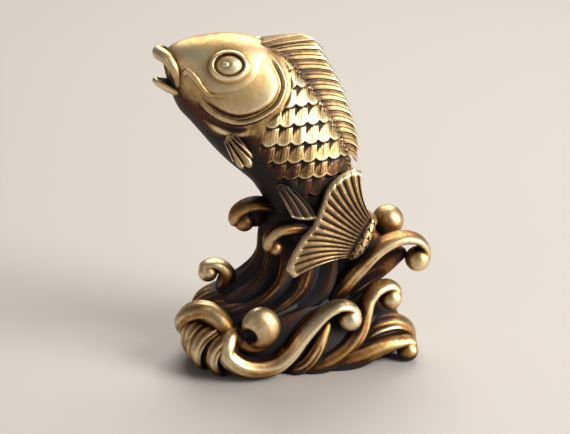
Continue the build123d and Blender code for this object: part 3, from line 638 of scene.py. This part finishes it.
# %% The strands that curl
# Each row: name, the axis of the curl at its foot and at its hook, places in
# millimetres, half width, half thickness of the foot and of the hook, then the
# place and the radius of the ball, with its depth and height against the radius
curls = [
    ("crest_front_left", [(0.3, 0.6, 0.8), (0, 1, 0)], [
        (-15, 3.5, 3.5), (-19.3, 1.5, 4.6), (-21, -1.2, 6.2), (-21.2, -3.8, 8.4), (-19.9, -5.6, 10.3),
        (-18, -7.2, 10.9), (-16.1, -8.8, 9.9), (-14.5, -10.1, 8.2), (-12.6, -11.3, 6.6), (-10.5, -12, 6),
        (-8.4, -12.4, 6.9), (-7.2, -12.5, 9)],
     2.1, 1.85, 1.6, (-9.3, -12.6, 9.4), 3.5, 0.74, 1.1),
    ("front_strand_long", [(0, 1, 0.1), (0, 1, 0.1)], [
        (-13.2, -9.4, 8.2), (-15, -11.4, 6.9), (-15.4, -12.4, 5), (-13.7, -13, 3.2), (-10.8, -13.3, 2.1),
        (-7, -13.2, 2.4), (-4.2, -12.9, 4.2), (-1.9, -12.6, 6.9), (0.3, -12.3, 9.2), (2.8, -12, 11.2),
        (5.2, -11.8, 12), (7.2, -11.6, 11.4), (8.2, -11.6, 10), (8.1, -11.6, 8.8)],
     2.2, 1.8, 0.9, (7, -11.8, 9.2), 2.15, 1, 1),
    ("crest_front_right", [(0, 1, 0.2), (0, 1, 0.2)], [
        (-2, -11.6, 0.8), (0.8, -12.2, 1), (4.1, -12, 2.1), (7.2, -11.3, 4.1), (9.2, -10.6, 6.6),
        (10.2, -9.8, 9.2), (11.1, -9, 11.4), (13, -8.4, 13.2), (15.2, -8, 13.5), (16.6, -7.8, 12.4),
        (16.7, -7.8, 10.9)],
     2, 1.9, 0.95, (15.5, -8, 11), 2.15, 1, 1),
    ("crest_right_low", [(0, 1, 0.2), (0, 1, 0.2)], [
        (1.5, -11.3, 0.8), (5.9, -12, 1.2), (9.3, -12, 2.1), (12.8, -11.7, 3.3), (15.9, -11.3, 3.8),
        (18.4, -11, 3.4), (19.4, -11, 2.2)],
     1.9, 2.3, 1.1, (18, -11.2, 1.8), 2, 1, 1),
    ("crest_right_upper", [(0, 1, 0), (0, 1, 0)], [
        (3.5, -3.8, 8.5), (7, -5.4, 12.8), (10.1, -6.2, 16.8), (12.6, -6.2, 19.3), (14.8, -6, 20.7),
        (18.3, -5.6, 21.5), (21, -5.3, 20.8), (22.4, -5, 19.2), (22.7, -5, 17.4), (22.1, -5, 16)],
     2.4, 1.6, 1, (21.3, -5.1, 17), 2.35, 1, 1),
    ("crest_right_back", [(0, 1, 0), (0, 1, 0)], [
        (10, 2, 11), (12.4, 1.8, 16.2), (14.3, 1.4, 19.8), (16, 1, 22)],
     3, 2, 2.6, (17.2, 1, 22.5), 3, 1, 1),
    ("crest_left_upper", [(0, -1, 0), (0, -1, 0)], [
        (1, -0.5, 22), (-3, -1, 26.2), (-6, -1, 27.9), (-8.1, -1, 28.2), (-10.1, -1, 27.7), (-11.3, -1, 26.7),
        (-11.5, -1, 25.4), (-11, -1, 24.6)],
     2.3, 1.45, 1.3, (-10, -1.2, 25.2), 1.85, 1, 1),
    ("crest_inner", [(0, 1, 0), (0, 1, 0)], [
        (2.8, -6.2, 25.4), (-0.4, -6.7, 25.4), (-3, -7, 25.6), (-5.3, -7, 25.1), (-6.6, -7, 23.8), (-6.7, -7, 22.4),
        (-6, -7, 21.5)],
     1.9, 1.3, 1.25, (-5.6, -7, 22), 1.45, 1, 1),
    ("crest_left_small", [(0, -1, 0), (0, -1, 0)], [
        (-9.5, 0.5, 7.5), (-12.4, 0.8, 9.8), (-13.2, 1, 12.1), (-13, 1, 14.4), (-14, 1, 16), (-15.6, 1, 16.7),
        (-17, 1, 16.2), (-17.3, 1, 15.2)],
     2, 2.2, 0.95, (-16.4, 0.8, 15.2), 1.8, 1, 1),
    ("back_strand_long", [(0, 1, -0.1), (0, 1, -0.1)], [
        (9.5, 9, 7.5), (12.4, 11.2, 5.8), (12.3, 12.2, 3.4), (9.5, 12.9, 2.2), (6, 13.2, 2.6), (2.6, 13, 5),
        (0, 12.5, 8), (-2.6, 11.8, 10.4), (-5.2, 11.4, 11.4), (-7.2, 11.2, 10.9)],
     1.7, 1.7, 0.95, (-6.7, 11.4, 9), 2.15, 1, 1),
    ("back_crest_left", [(0, 1, 0), (0, 1, 0)], [
        (0.5, 10.4, 1.2), (-3, 11, 2), (-6.2, 10.9, 4), (-8.2, 10.2, 6.2), (-9.8, 9.6, 7.6), (-11.8, 9.3, 7.6)],
     1.9, 1.7, 1, (-11.4, 9.4, 5.9), 2, 1, 1),
    ("back_crest_low", [(0, 1, -0.2), (0, 1, -0.2)], [
        (-6.4, 8.7, 0.8), (-10.8, 9.3, 2), (-14.2, 8.7, 3.2), (-17.2, 7.3, 3.6), (-19, 5.6, 2.9)],
     1.9, 2, 1.3, (-18.4, 5.4, 1.9), 1.9, 1, 1),
    ("back_crest_right", [(0, 1, 0), (0, 1, 0)], [
        (5.4, 5.8, 7.5), (8.6, 7.2, 10.5), (11.4, 7.8, 13), (14.2, 7.8, 13.9), (16.2, 7.8, 13)],
     2.2, 1.7, 1, (15.2, 8, 11.3), 2.15, 1, 1),
    ("back_crest_low_right", [(0, 1, -0.2), (0, 1, -0.2)], [
        (8.6, 8.7, 1), (12.9, 8.7, 2.5), (16.3, 7, 3.7), (18.9, 4.9, 3.5), (19.6, 3.6, 2)],
     1.9, 2.1, 1.3, (18.3, 3.4, 1.9), 1.9, 1, 1),
    ("back_crest_high", [(0, -1, 0), (0, -1, 0)], [
        (7, 2.9, 13.5), (5.6, 5.6, 17), (3.4, 6.9, 19.6), (0.8, 7.2, 20.3), (-1.1, 7.2, 19.4)],
     2.3, 1.5, 1, (0, 7.3, 17.9), 2, 1, 1),
]


def add_ball(shape, place, radius, deep, tall):
    """Adds the ball that a curl wraps."""
    size = Matrix.Diagonal((radius, radius * deep, radius * tall, 1))
    made = bmesh.ops.create_icosphere(shape, subdivisions=4, radius=1, matrix=Matrix.Translation(place) @ size)
    return made["verts"]


for name, axis, places, half_wide, foot, hook, ball, radius, deep, tall in curls:
    crest = bmesh.new()
    hollow = (0.1, inner_side, 0.7) if name == "crest_front_left" else (0.45, inner_side, 0.55)
    roll(crest, places, axis, [(0, half_wide), (0.5, half_wide), (0.8, 0.9 * half_wide), (1, 0.6 * half_wide)],
         [(0, foot), (0.35, foot), (0.65, (foot + hook) / 2), (0.85, hook), (1, hook)],
         along=150, around=64, hollow=hollow, lines=0.03)
    if name == "front_strand_long":
        # the inner side of this wide strand has a second, thinner lip
        roll(crest, [(-13.2, -11.4, 7), (-13.6, -12, 5.3), (-12.4, -12.6, 3.9), (-9.8, -13, 3.4), (-7.2, -13, 3.8),
                     (-5.2, -12.7, 5.2)], axis, [(0, 1.2), (1, 1.0)], [(0, 0.45), (1, 0.4)], along=80, around=24)
        roll(crest, [(-6.4, -11, 3.4), (-4, -11.2, 5.6), (-1.6, -11, 8.2), (0.9, -10.5, 10.2), (3.4, -9.8, 11.2)], axis,
             [(0, 1.2), (1, 1.0)], [(0, 1.0), (0.6, 0.8), (1, 0.4)], along=80, around=24)
    verts = add_ball(crest, ball, radius, deep, tall)
    if name == "crest_front_left":
        # the round hollow where the ribbon has rolled itself up
        for vert in verts:
            near = bump((vert.co - Vector((-12.0, -14.2, 8.3))).length, 0, 1.2)
            vert.co += Vector((0.8, 1.0, 0.1)) * 1.8 * float(near)
    if name == "crest_left_upper":
        # behind this curl the casting is filled up to the stream
        add_ball(crest, (-7.8, -0.6, 25.9), 1.9, 0.8, 1.1)
    cast_together(finish_piece("wave_" + name, crest, [name], "wave_brass"), grain=0.15, rounds=6)

# %% [markdown]
# The other strands taper away between their neighbours, like water that falls
# back. They have no ball, so their rolls are left as they are.

# %% The strands that taper
# Each row: name, the axis of the roll, places in millimetres, half width and
# half thickness
tapers = [
    ("petal_upper", (0.4, -1, -0.1), [
        (-16.4, -6.2, 9.2), (-19, -7, 9), (-20.9, -7.4, 7.6), (-21.5, -7.1, 5.6), (-21.2, -6.6, 3.6),
        (-19.8, -5.8, 1.2)], 2.0, 1.0),
    ("petal_middle", (0.4, -1, -0.1), [
        (-15, -7.6, 8.6), (-17.4, -9, 8.4), (-19.9, -9.7, 6.8), (-20.7, -9.7, 4.7), (-20.3, -9.2, 2.6),
        (-18.6, -8.2, 0.5)], 2.2, 1.1),
    ("petal_lower", (0.4, -1, -0.1), [
        (-13.4, -9.6, 7.8), (-15.9, -11, 7.2), (-17.9, -11.7, 5.6), (-18.2, -11.6, 3.8), (-17.5, -11.1, 1.9),
        (-15.6, -10.4, 0)], 2.3, 1.2),
    ("front_strand_short", (0, 1, 0.1), [
        (-4.2, -12.4, 0.4), (-1.2, -12.7, 1.9), (0.7, -12.5, 4.2), (1.9, -12, 6.6), (3.4, -11.2, 8.8)], 1.5, 1.5),
    ("crest_right_ridge", (0.2, 1, 0.1), [
        (7.6, -8.2, 2), (10.4, -8.9, 4.2), (13.5, -8.6, 5.6), (16.6, -7.8, 5.7), (19, -7, 4.2),
        (20, -6.4, 2.2), (19.8, -6, 0.5)], 2.6, 1.7),
    ("crest_right_blade", (0, 1, 0), [
        (2.5, -1.2, 8), (7.4, -1.8, 10.8), (11.2, -2.4, 13.4), (14.2, -2.8, 15.2), (17, -3, 16.8),
        (19.6, -3.3, 18.2)], 2.6, 2.6),
    ("back_strand_short", (0, 1, -0.1), [
        (2.1, 11.2, 0.6), (-0.9, 12, 1.9), (-2.6, 12, 3.9), (-4.3, 11.3, 6.6), (-6.4, 9.9, 8.8)], 1.6, 1.5),
]
taper_shape = [(0, 0.9), (0.2, 1.0), (0.5, 1.0), (0.75, 0.85), (1, 0.4)]
for name, axis, places, half_wide, half_thick in tapers:
    strand = bmesh.new()
    roll(strand, places, [axis] * 2, [(a, s * half_wide) for a, s in taper_shape],
         [(a, s * half_thick) for a, s in taper_shape], along=120, around=64,
         hollow=(0.25 if name.startswith("petal") else 0, outer_side, 0.6),
         lines=0.14 if name == "crest_right_blade" else 0.05)
    finish_piece("wave_" + name, strand, [name], "wave_brass")

# %% [markdown]
# Under the crests lie the two big forms of the base. The first is the mound, a
# low heap with fine ridges that the water has drawn. It is stacked up from
# rounded outlines, and its top stays under the stream.

# %% The mound
# Each row in millimetres: height, shift in x, half length, half width
mound_rows = [(0, 0, 19.6, 12.6), (2.7, 0, 19.9, 12.8), (6.7, -0.9, 18.8, 11.4), (9.3, -2.6, 16.8, 10),
              (10.9, -4.2, 13.6, 8.4), (11.6, -6, 10, 6.4), (11.9, -7, 6, 4)]


def mound_place(u, v):
    """The heap, from its open underside to its top."""
    level = np.clip(u / 0.97, 0, 1)
    z, shift, half_x, half_y = between(range(len(mound_rows)), mound_rows, level * (len(mound_rows) - 1)).T
    turn = 2 * math.pi * v
    cos, sin = np.cos(turn), np.sin(turn)
    spot = np.stack([shift + half_x * np.sign(cos) * np.abs(cos) ** 0.85, half_y * np.sign(sin) * np.abs(sin) ** 0.85,
                     z], 1)
    # the lines of the stream run on over the heap and bend to the left
    across = spot[:, 1] - 0.03 * np.maximum(spot[:, 0] + 8, 0) ** 2
    fine = ramp(level, 0.4, 0.6) * (0.3 + 0.25 * ramp(spot[:, 0], -9, -3))
    spot[:, 2] += fine * (np.abs(np.cos(math.pi * across / 2.1)) - 0.6)
    spot[u > 0.985] = (-8, 0, 11.9)
    return spot


mound = bmesh.new()
bend_grid(mound, 120, 300, mound_place)
fill_openings(mound)
finish_piece("wave_heap", mound, ["wave_mound"], "wave_brass")

# %% [markdown]
# The second is the column, a fluted stream that sweeps around from the left and
# then rises into the fish. A section stands on each of its rows, from the inner
# to the outer side of the bend, and the flutes are cut into the section, so they
# follow the stream by themselves. They fade where it enters the fish.

# %% The column
# Each row in millimetres: inner x and z, outer x and z, half width, then how
# deep the flutes are against their full depth
stream_rows = [(-5.4, 27.6, 9.8, 27.4, 5.4, 0), (-6.9, 25.6, 10.7, 25.4, 6.1, 0.3), (-7.5, 22.4, 10.9, 21, 6.5, 1),
               (-7.8, 19.5, 11.3, 15.5, 7.3, 1), (-8.8, 17, 9, 9.8, 8.6, 1), (-10.6, 15, 3, 6.5, 9.6, 1),
               (-12.7, 13.4, -4, 5, 9.8, 1), (-14.9, 12, -11, 4.5, 8.8, 1), (-16.6, 9.4, -15.5, 5.5, 6, 0.3)]
stream_flutes = 13


def stream_place(u, v):
    """The stream, from the fish down and around to the left."""
    row = np.clip((u - 0.01) / 0.98, 0, 1) * (len(stream_rows) - 1)
    in_x, in_z, out_x, out_z, half_y, flute = between(range(len(stream_rows)), stream_rows, row).T
    turn = 2 * math.pi * v
    # broad cords with a narrow groove between them, and a faint line along each cord
    cord = stream_flutes / 2 * (turn + 0.05 * np.sin(3 * turn + 5 * u))
    ridge = np.abs(np.cos(cord)) ** 1.4 - 0.1 * np.abs(np.cos(cord)) ** 40
    cut = 1 - 0.17 * flute * (1 - ridge)
    cos, sin = np.cos(turn) * cut, np.sin(turn) * cut
    spot = np.stack([(in_x + out_x) / 2 - (out_x - in_x) / 2 * cos, half_y * sin,
                     (in_z + out_z) / 2 - (out_z - in_z) / 2 * cos], 1)
    spot[u < 0.005] = (2.2, 0, 27.4)
    spot[u > 0.995] = (-16, 0, 8)
    return spot


stream = bmesh.new()
bend_grid(stream, 160, 420, stream_place)
finish_piece("wave_stream", stream, ["wave_column"], "wave_brass")

# %% [markdown]
# The brass was darkened all over and then rubbed, so it is pale and bright where
# hands reach and nearly black in the hollows. How deep a place lies is worked
# out from the forms. First the ornament is filled with small cells: a ray falls
# through each column of cells, and metal lies between the place where it enters
# the skin of a piece and the place where it leaves. The floor counts as metal
# too, so the places near it are darkened: partly tarnish where hands don't reach,
# partly painted shade from the floor.


# %% The cells of metal
def places_of(mesh):
    """The places of a mesh's vertices, in millimetres."""
    spots = np.empty(len(mesh.vertices) * 3)
    mesh.vertices.foreach_get("co", spots)
    return spots.reshape(-1, 3) / mm


# the size of a cell, the corner where they begin, and how many there are
cell = 0.4
low = np.array([-30, -20, -6.0])
count = np.array([140, 100, 170])
filled = np.zeros(count, bool)
# the floor is filled as metal, which darkens the places near it: partly tarnish, partly painted shade
filled[:, :, : int(-low[2] / cell)] = True
most_crossings, skip = 12, 0.01
for piece in pieces.values():
    mesh = piece.data
    spots = places_of(mesh)
    tree = BVHTree.FromPolygons([Vector(s) for s in spots.tolist()], [tuple(f.vertices) for f in mesh.polygons])
    first = ((spots.min(0) - low) / cell).astype(int)
    last = ((spots.max(0) - low) / cell).astype(int) + 1
    for i in range(first[0], last[0]):
        for j in range(first[1], last[1]):
            x, y = low[0] + (i + 0.5) * cell, low[1] + (j + 0.5) * cell
            top, inside = 100.0, False
            for _ in range(most_crossings):
                hit = tree.ray_cast(Vector((x, y, top)), Vector((0, 0, -1)))[0]
                if not hit:
                    break
                if inside:
                    filled[i, j, int((hit.z - low[2]) / cell):int((start - low[2]) / cell) + 1] = True
                inside, start, top = not inside, hit.z, hit.z - skip
print("cells of metal:", int(filled.sum()))

# %% [markdown]
# The blur of the cells tells how much metal stands around a place, so it finds
# the hollows that hands don't reach. The small pits and ridges come from the
# skin itself: it is smoothed, and what it loses is a ridge or a dent. Both are
# kept with the mesh for the finish. Some pieces are made darker or paler than
# their form tells, and a table says by how much. On the fish, the faces that turn
# down and to the left and the lower body are darkened too: painted shade.


# %% How deep each place lies
def blurred(width):
    """The share of metal within about the width of each cell."""
    waves = np.fft.rfftn(filled.astype(float))
    for axis, size in enumerate(count):
        rate = np.fft.rfftfreq(size) if axis == 2 else np.fft.fftfreq(size)
        fade = np.exp(-2 * (math.pi * rate * width / cell) ** 2)
        waves = waves * fade.reshape([-1 if axis == k else 1 for k in range(3)])
    return np.fft.irfftn(waves, s=tuple(count))


# each blur, how high above the skin it is read, and its weight
blurs = [(blurred(0.8), 0.5, 1.6), (blurred(2.4), 1.5, 1.2)]


def metal_around(share, spots):
    """The share of metal at some places, between the cells."""
    f = (spots - low) / cell - 0.5
    base = np.clip(f.astype(int), 0, count - 2)
    f = np.clip(f - base, 0, 1)
    total = 0
    for i, j, k in np.ndindex(2, 2, 2):
        weight = np.abs(1 - i - f[:, 0]) * np.abs(1 - j - f[:, 1]) * np.abs(1 - k - f[:, 2])
        total = total + weight * share[base[:, 0] + i, base[:, 1] + j, base[:, 2] + k]
    return total


# how much darker each piece is made than its form tells; below zero it is made paler
piece_darkening = {
    "wave_stream": 0.42, "wave_heap": 0.15, "wave_front_strand_long": -0.2, "wave_crest_inner": 0.25,
    "wave_crest_left_upper": 0.22, "wave_crest_right_blade": 0.35, "belly_fin_near": 0.5, "belly_fin_far": 0.5,
    "roll_upper_lip": 0.35, "roll_lower_lip": 0.1, "whisker_near": 0.35, "whisker_far": 0.35,
    "breast_fin_near": 0.15, "breast_fin_far": 0.15, "tail_fan": 0.15, "tail_root": 0.1, "back_fin": -0.08,
    "carp_head": -0.12, "scaled_body": 0.05,
}
smoothings, full_dent = 8, 0.12
for piece in pieces.values():
    mesh = piece.data
    size = len(mesh.vertices)
    spots, outs = places_of(mesh), np.empty(size * 3)
    mesh.vertex_normals.foreach_get("vector", outs)
    outs = outs.reshape(-1, 3)
    ends = np.empty(len(mesh.edges) * 2, int)
    mesh.edges.foreach_get("vertices", ends)
    a, b = ends.reshape(-1, 2).T
    links = np.bincount(a, minlength=size) + np.bincount(b, minlength=size)
    soft = spots.copy()
    for _ in range(smoothings):
        total = np.stack([np.bincount(a, soft[b, k], size) + np.bincount(b, soft[a, k], size) for k in range(3)], 1)
        soft = 0.4 * soft + 0.6 * total / np.maximum(links, 1)[:, None]
    dent = ((soft - spots) * outs).sum(1)
    if piece.name in ("scaled_body", "carp_head"):
        # the head and the body meet flush, so their rims aren't rubbed
        back_x, back_z, belly_x, belly_z, _ = fish_rows[head_end]
        across = unit(np.array([back_z - belly_z, belly_x - back_x]))
        dent *= ramp(np.abs((spots[:, [0, 2]] - (back_x, back_z)) @ across), 0.3, 1.2)
    # deep holds the dark wash of the hollows, with painted shade near the floor and under the fish
    deep = sum(metal_around(share, spots + outs * above) * weight for share, above, weight in blurs)
    deep += piece_darkening.get(piece.name, 0)
    if piece.name.startswith(("scaled", "carp", "gill")):
        # painted shade: the faces of the fish that turn down and to the left, and the fish towards its foot, are made
        # darker
        deep += 0.9 * ramp(-outs[:, 2] * 0.8 - outs[:, 0] * 0.45, -0.05, 0.8) + 0.45 * ramp(44 - spots[:, 2], 0, 11)
    for label, values in (("dent", dent / full_dent), ("deep", deep)):
        mesh.attributes.new(label, "FLOAT", "POINT").data.foreach_set("value", values.astype(np.float32))
print("deepness is kept with", len(pieces), "pieces")

# %% [markdown]
# Cast brass, aged with a dark wash and rubbed back. Bare brass is a metal of a
# warm pale gold with blurred mirror images. The wash that stays in the hollows
# is a thin dull crust, dark brown with a breath of blue, and hides the metal.
# Three finishes share this recipe: the fish is rubbed most, the fins less, and
# the waves keep the most of their dark wash.


# %% The finish of aged brass
def add_node(tree, kind, links=(), **settings):
    """Adds a node to a material with its settings and the sockets that feed it."""
    node = tree.nodes.new(kind)
    for key, value in settings.items():
        setattr(node, key, value)
    for socket, value in links:
        if isinstance(value, bpy.types.NodeSocket):
            tree.links.new(value, node.inputs[socket])
        else:
            node.inputs[socket].default_value = value
    return node


def aged_brass(name, pale, gold, brown, crust, rubbed, rough):
    """Brass that is pale on its edges and dark in its hollows."""
    material = bpy.data.materials.new(name)
    material.use_nodes = True
    tree = material.node_tree
    surface = tree.nodes["Principled BSDF"]
    place = add_node(tree, "ShaderNodeTexCoord").outputs["Object"]
    # the deep attribute: the dark wash of the hollows, with painted shade near the floor and under the fish
    deep = add_node(tree, "ShaderNodeAttribute", attribute_name="deep").outputs["Fac"]
    dent = add_node(tree, "ShaderNodeAttribute", attribute_name="dent").outputs["Fac"]
    # clouds of tarnish about 6 mm across, and a fine speckle of 0.7 mm
    clouds = add_node(tree, "ShaderNodeTexNoise", [("Vector", place), ("Scale", 1 / (6 * mm)), ("Detail", 4.0)])
    speckle = add_node(tree, "ShaderNodeTexNoise", [("Vector", place), ("Scale", 1 / (0.7 * mm)), ("Detail", 3.0)])
    # how dark the wash is: deep places, dents, and the two kinds of blotch, with the painted shade that the deep
    # attribute also carries
    wash_and_shade = deep
    for part, share in ((dent, 0.55), (clouds.outputs["Fac"], 0.5), (speckle.outputs["Fac"], 0.35)):
        wash_and_shade = add_node(tree, "ShaderNodeMath", [(0, part), (1, share), (2, wash_and_shade)],
                        operation="MULTIPLY_ADD").outputs[0]
    level = add_node(tree, "ShaderNodeMapRange", [("Value", wash_and_shade), ("From Min", rubbed), ("From Max", rubbed + 1.1)])
    shades = add_node(tree, "ShaderNodeValToRGB", [("Fac", level.outputs["Result"])])
    for position, shade in ((0.0, pale), (0.3, gold), (0.62, brown), (0.95, crust)):
        stop = shades.color_ramp.elements.new(position)
        stop.color = colour(shade)
    shades.color_ramp.elements.remove(shades.color_ramp.elements[0])
    shades.color_ramp.elements.remove(shades.color_ramp.elements[-1])
    tree.links.new(shades.outputs["Color"], surface.inputs["Base Color"])
    metal = add_node(tree, "ShaderNodeMapRange", [("Value", level.outputs["Result"]), ("From Min", 0.55),
                                                  ("From Max", 1.0), ("To Min", 1.0), ("To Max", 0.6)])
    tree.links.new(metal.outputs["Result"], surface.inputs["Metallic"])
    dull = add_node(tree, "ShaderNodeMapRange", [("Value", level.outputs["Result"]), ("To Min", rough),
                                                 ("To Max", 0.5)])
    dull = add_node(tree, "ShaderNodeMath", [(0, speckle.outputs["Fac"]), (1, 0.12), (2, dull.outputs["Result"])],
                    operation="MULTIPLY_ADD")
    tree.links.new(dull.outputs[0], surface.inputs["Roughness"])
    # pits of the casting, 0.9 mm apart, and the soft unevenness of hand finishing, 2 mm
    pits = add_node(tree, "ShaderNodeTexVoronoi", [("Vector", place), ("Scale", 1 / (0.9 * mm))])
    pit = add_node(tree, "ShaderNodeMapRange", [("Value", pits.outputs["Distance"]), ("From Min", 0.06),
                                                ("From Max", 0.22)])
    hand = add_node(tree, "ShaderNodeTexNoise", [("Vector", place), ("Scale", 1 / (2 * mm)), ("Detail", 2.0)])
    relief = hand.outputs["Fac"]
    for part, share in ((pit.outputs["Result"], 0.25), (speckle.outputs["Fac"], 0.4)):
        relief = add_node(tree, "ShaderNodeMath", [(0, part), (1, share), (2, relief)],
                          operation="MULTIPLY_ADD").outputs[0]
    skin = add_node(tree, "ShaderNodeBump", [("Height", relief), ("Strength", 0.35), ("Distance", 0.12 * mm)])
    tree.links.new(skin.outputs["Normal"], surface.inputs["Normal"])
    return material


finishes = {
    "fish_brass": aged_brass("rubbed_cast_brass", "#f7e8c2", "#cdac76", "#573926", "#2b2624", 0.90, 0.34),
    "fin_brass": aged_brass("brown_cast_brass", "#dfcca6", "#a1875f", "#5a4534", "#36322f", 0.66, 0.36),
    "wave_brass": aged_brass("dark_cast_brass", "#ecdab0", "#a97d48", "#46291a", "#26252a", 0.72, 0.33),
}
for name, piece in pieces.items():
    piece.data.materials.clear()
    piece.data.materials.append(finishes[slots[name]])
print("finishes:", ", ".join(finishes))

# %% [markdown]
# The ornament stands on a pale tabletop with a soft sheen, wide enough to fill
# the view.

# %% The tabletop
table = bmesh.new()
half_table = 3
bmesh.ops.create_grid(table, x_segments=2, y_segments=2, size=half_table)
mesh = bpy.data.meshes.new("tabletop")
table.to_mesh(mesh)
table.free()
top = bpy.data.objects.new("tabletop", mesh)
bpy.context.collection.objects.link(top)
paint = bpy.data.materials.new("pale_tabletop")
paint.use_nodes = True
paint.node_tree.nodes["Principled BSDF"].inputs["Base Color"].default_value = colour("#b9b5b2")
paint.node_tree.nodes["Principled BSDF"].inputs["Roughness"].default_value = 0.6
mesh.materials.append(paint)
print("tabletop is", 2 * half_table, "m wide")
